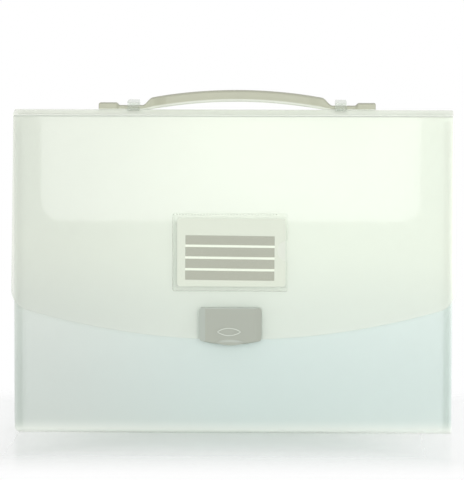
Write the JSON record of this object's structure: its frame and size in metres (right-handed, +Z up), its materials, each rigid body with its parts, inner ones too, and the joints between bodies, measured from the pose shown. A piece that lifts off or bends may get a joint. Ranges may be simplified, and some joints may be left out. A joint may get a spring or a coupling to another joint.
{
  "type": "document carry case",
  "caption": "Translucent plastic carry case for papers with a hinged lid and front flap, snap latch, card pocket and sliding strap handle.",
  "frame": {"origin": "middle of the bottom face of the case, on the surface where it stands", "axes": "+X to the right seen from the front, +Y to the back, +Z up"},
  "size_m": [0.339, 0.0487, 0.2621],
  "materials": {
    "frosted_sheet": "frosted translucent polypropylene sheet, fine matte grain",
    "clear_film": "clear flexible film, slightly hazy, welded at its border",
    "clear_plastic": "clear moulded plastic",
    "handle_plastic": "smooth satin moulded plastic, warm beige-grey",
    "latch_plastic": "fine satin moulded plastic, green-grey",
    "card_paper": "uncoated paper card printed with four grey bars"
  },
  "bodies": {
    "case": {"case_body": "frosted_sheet", "left_gusset": "frosted_sheet", "right_gusset": "frosted_sheet", "catch": "latch_plastic", "catch_retainer": "latch_plastic"},
    "lid": {"top_panel": "frosted_sheet", "left_handle_loop": "clear_plastic", "right_handle_loop": "clear_plastic", "left_loop_retainer": "clear_plastic", "right_loop_retainer": "clear_plastic"},
    "left_end": {"handle_left_end": "handle_plastic", "handle_left_neck": "handle_plastic"},
    "grip": {"handle_grip": "handle_plastic"},
    "right_end": {"handle_right_end": "handle_plastic", "handle_right_neck": "handle_plastic"},
    "flap": {"front_flap": "frosted_sheet", "card_pocket": "clear_film", "latch_base": "latch_plastic", "latch_retainer": "latch_plastic"},
    "latch": {"latch_lever": "latch_plastic"},
    "card": {"label_card": "card_paper"}
  },
  "joints": [
    {"name": "lid_hinge", "type": "hinge", "parent": "case", "child": "lid", "pos_m": [0, 0.0185, 0.2438], "axis": [-1, 0, 0], "range_deg": [0, 110]},
    {"name": "flap_hinge", "type": "hinge", "parent": "lid", "child": "flap", "pos_m": [0, -0.021, 0.2438], "axis": [-1, 0, 0], "range_deg": [0, 150]},
    {"name": "latch_hinge", "type": "hinge", "parent": "flap", "child": "latch", "pos_m": [-0.0016, -0.0252, 0.094], "axis": [-1, 0, 0], "range_deg": [0, 65]},
    {"name": "card_slide", "type": "slide", "parent": "flap", "child": "card", "axis": [1, 0, 0], "range_m": [0, 0.0854]},
    {"name": "left_end_slide", "type": "slide", "parent": "lid", "child": "left_end", "axis": [1, 0, 0], "range_m": [0, 0.0059]},
    {"name": "handle_lift", "type": "slide", "parent": "left_end", "child": "grip", "axis": [-0.366, 0, 0.9306], "range_m": [0, 0.01612], "deforming": ["handle_left_neck", "handle_right_neck"]},
    {"name": "right_end_slide", "type": "slide", "parent": "grip", "child": "right_end", "axis": [-0.366, 0, -0.9306], "range_m": [0, 0.01612]}
  ],
  "couplings": [
    {"joint": "left_end_slide", "follows": "handle_lift", "ratio": 0.36603},
    {"joint": "right_end_slide", "follows": "handle_lift", "ratio": 1}
  ]
}
